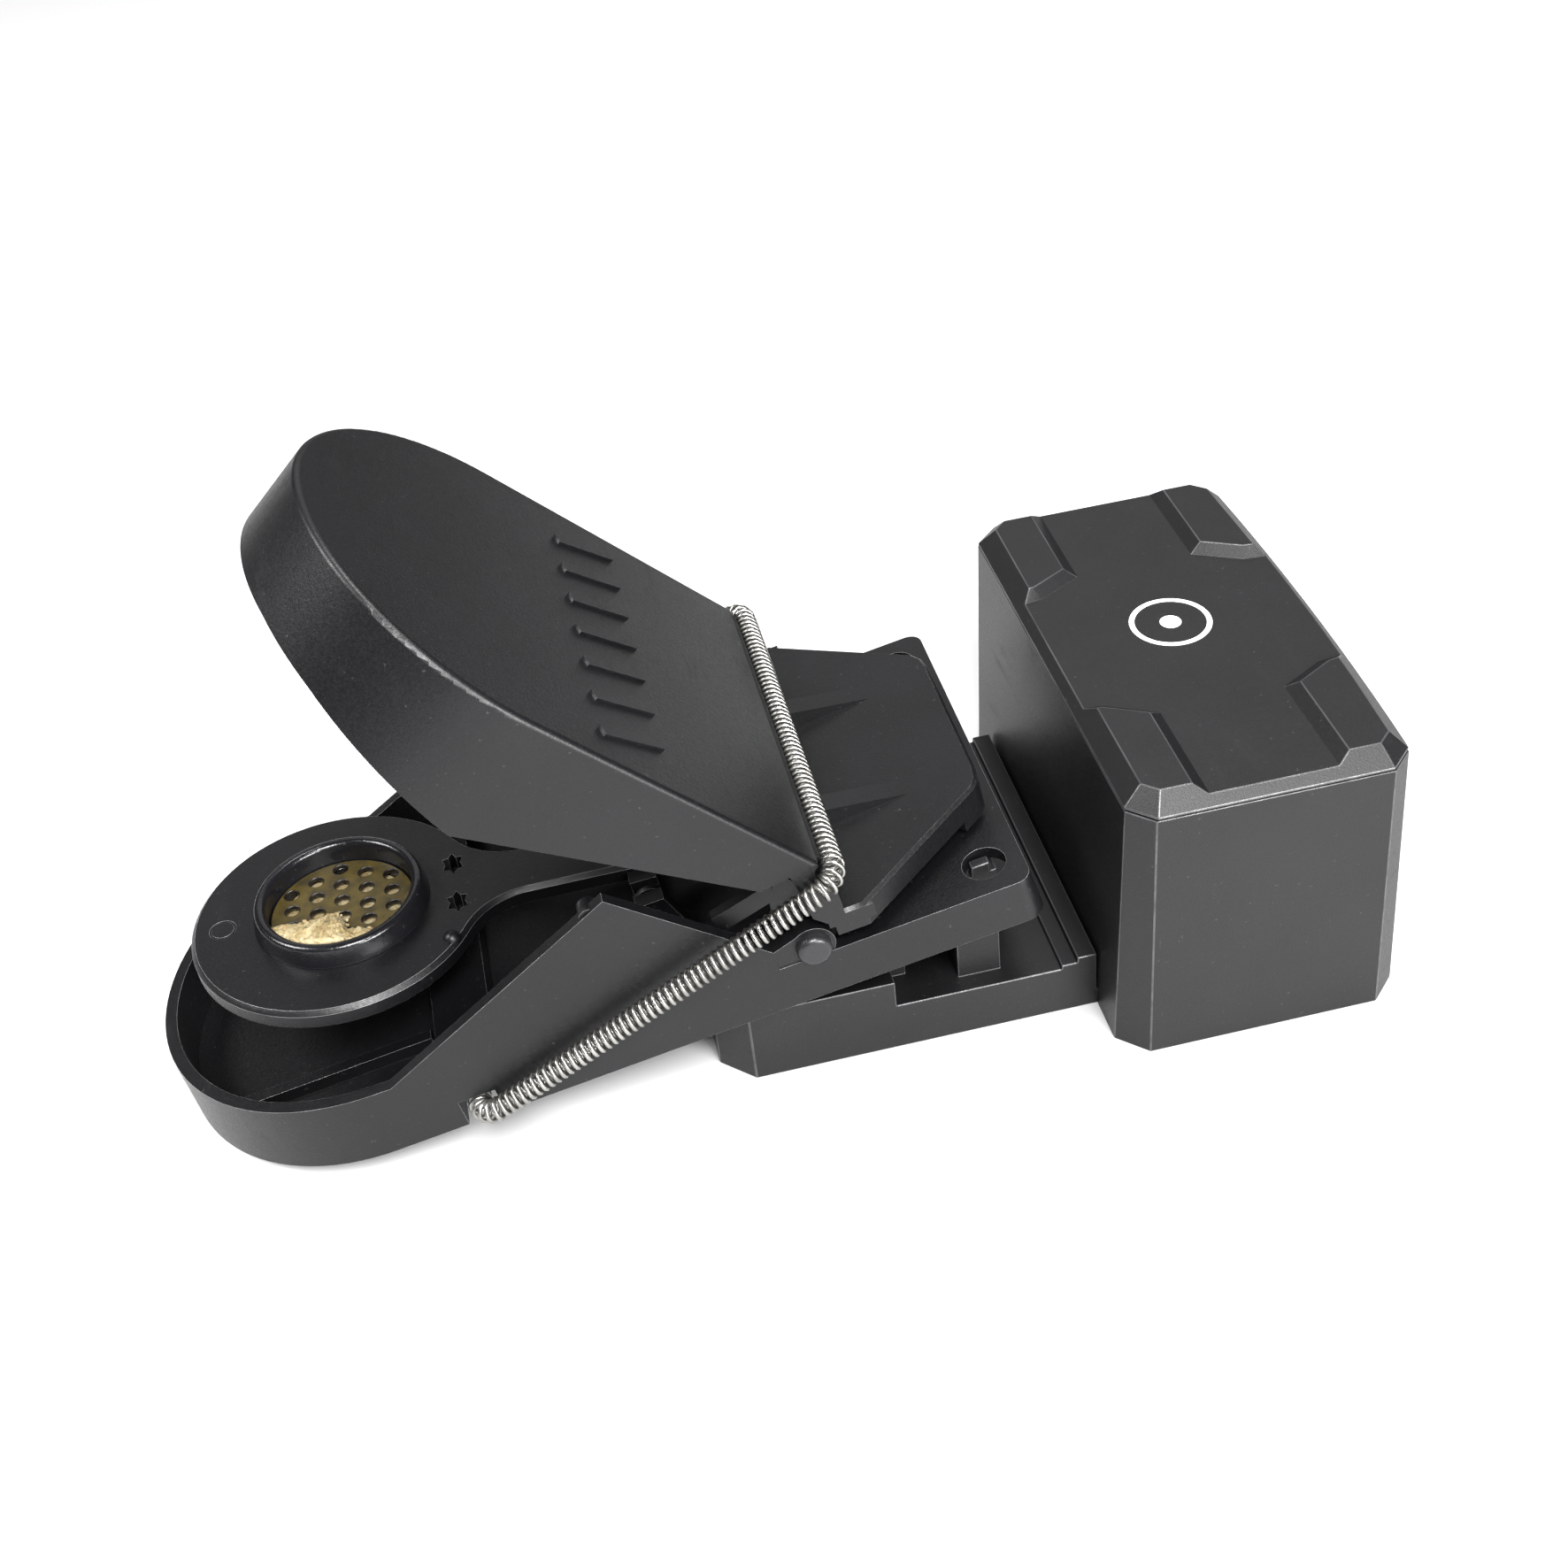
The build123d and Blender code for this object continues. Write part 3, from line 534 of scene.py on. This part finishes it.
def coil(name, samples, first, material):
    """Wire wound round a stretch of the centre line; first is the stretch's place in the whole loop."""
    top, foot, _ = spring_ends()
    plane = Vector((0, 1, 0)).cross(foot - top).normalized()
    spokes, places = [], []
    for i, (centre, outward, _) in enumerate(samples):
        phase = 2 * math.pi * (first + i) / COIL_STEPS
        spoke = outward * math.cos(phase) + plane * math.sin(phase)
        spokes.append(spoke)
        places.append(centre + spoke * (SPRING_R - WIRE_R))
    vertices, faces = [], []
    last = len(places) - 1
    for i, (place, spoke) in enumerate(zip(places, spokes)):
        heading = (places[min(i + 1, last)] - places[max(i - 1, 0)]).normalized()
        side = heading.cross(spoke).normalized()
        for k in range(WIRE_SIDES):
            angle = 2 * math.pi * k / WIRE_SIDES
            vertices.append(place + (spoke * math.cos(angle) + side * math.sin(angle)) * WIRE_R)
    for i in range(last):
        for k in range(WIRE_SIDES):
            a, b = i * WIRE_SIDES + k, i * WIRE_SIDES + (k + 1) % WIRE_SIDES
            faces.append((a, a + WIRE_SIDES, b + WIRE_SIDES, b))
    faces.append(tuple(range(WIRE_SIDES)))
    faces.append(tuple(reversed(range(last * WIRE_SIDES, (last + 1) * WIRE_SIDES))))
    piece = mesh_piece(name, vertices, faces, material)
    smooth(piece)
    return piece


def make_spring(material):
    """The top run goes with the jaw; the rest of the loop stays with the trap's body."""
    samples = spring_centre_line()
    seam = sum(1 for sample in samples if sample[2])
    top_run = coil("spring_top_run", samples[:seam], 0, material)
    sides = coil("spring_sides_and_foot", samples[seam - 1:], seam - 1, material)
    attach(top_run, "jaw")
    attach(sides, "trap_body")
    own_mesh(sides)
    for piece in (top_run, sides):
        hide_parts("power_spring")


# ---- loose bait on the disc

HEAP_MIDDLE = math.radians(-113)    # direction of the heap from the disc's centre
HEAP_SPAN = math.radians(57)
HEAP_WIDTH = 6.2 * MM
HEAP_HEIGHT = 2.5 * MM
HEAP_ROWS, HEAP_COLUMNS = 110, 18
BORE_R = 8.02 * MM          # just inside the cup's wall
CRUMBS = 34
CRUMB_SIZES = (0.14, 0.34)


def disc_frame():
    """Centre of the disc's top face, with its forward, side and normal directions."""
    disc = frame["nodes"]["bait_grid"].data
    normal = max(disc.polygons, key=lambda p: p.area).normal.copy()
    if normal.z < 0:
        normal = -normal
    points = [v.co for v in disc.vertices]
    low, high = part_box("bait_grid")
    centre = (low + high) / 2
    centre += normal * max((p - centre).dot(normal) for p in points)
    side = Vector((0, 1, 0))
    return centre, side.cross(normal).normalized(), side, normal


def make_bait_heap(material):
    """Crumbly crescent of paste pressed against the cup's wall, with loose crumbs."""
    centre, forward, side, normal = disc_frame()

    def place(angle, radius, height):
        away = forward * math.cos(angle) + side * math.sin(angle)
        return centre + away * radius + normal * height

    mesh = bmesh.new()
    rows, columns = HEAP_ROWS, HEAP_COLUMNS
    grid = {}       # vertices by row, column and 0 for the underside or 1 for the top
    for i in range(rows + 1):
        s = 2 * i / rows - 1
        angle = HEAP_MIDDLE + s * HEAP_SPAN
        taper = math.sqrt(max(1 - s * s, 0)) + 0.02
        ragged = noise.noise((angle * 6, 0, 3))
        coarse = noise.noise((angle * 2.5, 8, 1))
        width = HEAP_WIDTH * taper * (1 + 0.35 * coarse + 0.3 * ragged)
        height = HEAP_HEIGHT * taper * (1 + 0.3 * coarse)
        for j in range(columns + 1):
            t = j / columns
            radius = BORE_R - width * (1 - t)
            level = height * (1 - (1 - t) ** 2.4)
            spot = place(angle, radius, 0) / MM
            crumbs = 0.42 * noise.noise(spot * 1.9) + 0.26 * noise.noise(spot * 4.3)
            level += crumbs * MM * taper * min(t * 4, 1)
            grid[i, j, 1] = mesh.verts.new(place(angle, radius, max(level, 0.03 * MM)))
            grid[i, j, 0] = mesh.verts.new(place(angle, radius, 0.01 * MM))
    for i in range(rows):
        for j in range(columns):
            for level in (0, 1):
                mesh.faces.new([grid[i, j, level], grid[i + 1, j, level],
                                grid[i + 1, j + 1, level], grid[i, j + 1, level]])
        for j in (0, columns):
            mesh.faces.new([grid[i, j, 0], grid[i + 1, j, 0], grid[i + 1, j, 1], grid[i, j, 1]])
    for i in (0, rows):
        for j in range(columns):
            mesh.faces.new([grid[i, j, 0], grid[i, j + 1, 0], grid[i, j + 1, 1], grid[i, j, 1]])
    for _ in range(CRUMBS):
        s = random.uniform(-0.95, 0.95)
        size = random.uniform(*CRUMB_SIZES) * MM
        reach = HEAP_WIDTH * math.sqrt(1 - s * s)
        radius = BORE_R - reach - random.uniform(-0.8, 0.7) * MM
        spot = place(HEAP_MIDDLE + s * HEAP_SPAN, radius, size * 0.7)
        made = bmesh.ops.create_icosphere(
            mesh, subdivisions=2, radius=size, matrix=Matrix.Translation(spot))
        for vertex in made["verts"]:
            offset = vertex.co - spot
            vertex.co = spot + offset * (1 + 0.5 * noise.noise(vertex.co / MM * 3.0))
    bmesh.ops.recalc_face_normals(mesh, faces=mesh.faces)
    piece = mesh_piece("bait_heap", [], [], material)
    mesh.to_mesh(piece.data)
    mesh.free()
    smooth(piece)
    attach(piece, "trigger")


# ---- plain mark on the lid

MARK_R = 4.6 * MM
MARK_LINE = 0.6 * MM
MARK_DOT_R = 1.2 * MM
MARK_SHIFT = Vector((-0.4 * MM, 1.6 * MM, 0))   # from the middle of the lid
MARK_SIDES = 64
INK_DEPTH, INK_HEIGHT = 0.02 * MM, 0.03 * MM    # below and above the plastic
LID_RECESS = 1.0 * MM


def make_lid_mark(material):
    """White ring and dot printed in the lid's recess."""
    low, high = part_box("sensor_lid")
    level = high.z - LID_RECESS
    place = Vector(((low.x + high.x) / 2, 0, 0)) + MARK_SHIFT
    steps = MARK_SIDES
    vertices, faces = [], []
    for radius in (MARK_R, MARK_R - MARK_LINE, MARK_DOT_R):
        for z in (level - INK_DEPTH, level + INK_HEIGHT):
            for k in range(steps):
                angle = 2 * math.pi * k / steps
                vertices.append(place + Vector((radius * math.cos(angle), radius * math.sin(angle), z)))
    outer_low, outer_high, inner_low, inner_high, dot_low, dot_high = (steps * k for k in range(6))
    walls = [
        (outer_low, outer_high), (outer_high, inner_high),
        (inner_high, inner_low), (inner_low, outer_low), (dot_low, dot_high),
    ]
    for first, second in walls:
        for k in range(steps):
            n = (k + 1) % steps
            faces.append((first + k, first + n, second + n, second + k))
    faces.append(tuple(dot_high + k for k in range(steps)))
    faces.append(tuple(dot_low + k for k in reversed(range(steps))))
    piece = mesh_piece("lid_mark", vertices, faces, material)
    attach(piece, "sensor_unit")


# ---------------------------------------------------------------- stage, light, camera

CAMERA_PLACE = Vector((-0.0693, -0.17573, 0.16604))
CAMERA_YAW = math.radians(7.636)
CAMERA_PITCH = math.radians(38.824)
CAMERA_ROLL = math.radians(-6.935)
CAMERA_LENS = 46.66     # mm
CAMERA_SENSOR = 36
FLOOR_HALF = 6.0
FLOOR_TONE = (0.52, 0.52, 0.52, 1)
WORLD_STRENGTH = 0.08


def make_camera():
    """Three-quarter view from above, from the trap's near side."""
    data = bpy.data.cameras.new("camera")
    data.sensor_width = CAMERA_SENSOR
    data.lens = CAMERA_LENS
    data.clip_start = 0.01
    camera = bpy.data.objects.new("camera", data)
    forward = Vector((
        math.sin(CAMERA_YAW) * math.cos(CAMERA_PITCH),
        math.cos(CAMERA_YAW) * math.cos(CAMERA_PITCH),
        -math.sin(CAMERA_PITCH),
    ))
    right = Vector((math.cos(CAMERA_YAW), -math.sin(CAMERA_YAW), 0))
    up = -forward.cross(right)
    turn = Matrix.Rotation(CAMERA_ROLL, 3, -forward)
    basis = Matrix((turn @ right, turn @ up, -forward)).transposed()
    camera.matrix_world = Matrix.Translation(CAMERA_PLACE) @ basis.to_4x4()
    bpy.context.scene.collection.objects.link(camera)
    bpy.context.scene.camera = camera


def area_light(name, place, target, size, power):
    """Rectangular white light, size in metres and power in watts, aimed at target."""
    data = bpy.data.lights.new(name, "AREA")
    data.shape = "RECTANGLE"
    data.size, data.size_y = size
    data.energy = power
    light = bpy.data.objects.new(name, data)
    light.location = place
    light.rotation_euler = (target - Vector(place)).to_track_quat("-Z", "Y").to_euler()
    bpy.context.scene.collection.objects.link(light)


def make_stage():
    """Pale floor, dim white world and five soft lights."""
    size = FLOOR_HALF
    mesh = bpy.data.meshes.new("floor")
    corners = [(-size, -size, 0), (size, -size, 0), (size, size, 0), (-size, size, 0)]
    mesh.from_pydata(corners, [], [(0, 1, 2, 3)])
    floor = bpy.data.objects.new("floor", mesh)
    bpy.context.scene.collection.objects.link(floor)
    s = Shader("pale_floor")
    s.set(Base_Color=FLOOR_TONE, Roughness=0.8)
    mesh.materials.append(s.material)

    world = bpy.data.worlds.new("studio")
    world.use_nodes = True
    background = world.node_tree.nodes["Background"]
    background.inputs["Color"].default_value = (1, 1, 1, 1)
    background.inputs["Strength"].default_value = WORLD_STRENGTH
    bpy.context.scene.world = world
    middle = (cad_low + cad_high) / 2
    area_light("key", (-0.04, -0.48, 0.60), middle, (0.30, 0.20), 11.0)
    area_light("fill", (0.30, -0.65, 0.25), middle, (0.4, 0.25), 11.0)
    area_light("left", (-0.55, 0.05, 0.55), middle, (0.25, 0.25), 5.0)
    area_light("back", (0.10, 0.85, 0.60), middle, (0.9, 0.5), 1.2)
    area_light("top", (0.10, 0.10, 0.80), middle, (0.35, 0.25), 6.0)
    bpy.context.scene.view_settings.view_transform = "Standard"


materials = make_materials()
dress_nodes(materials)
make_spring(materials["spring_steel"])
make_bait_heap(materials["bait_paste"])
make_lid_mark(printed_ink())
make_stage()
make_camera()
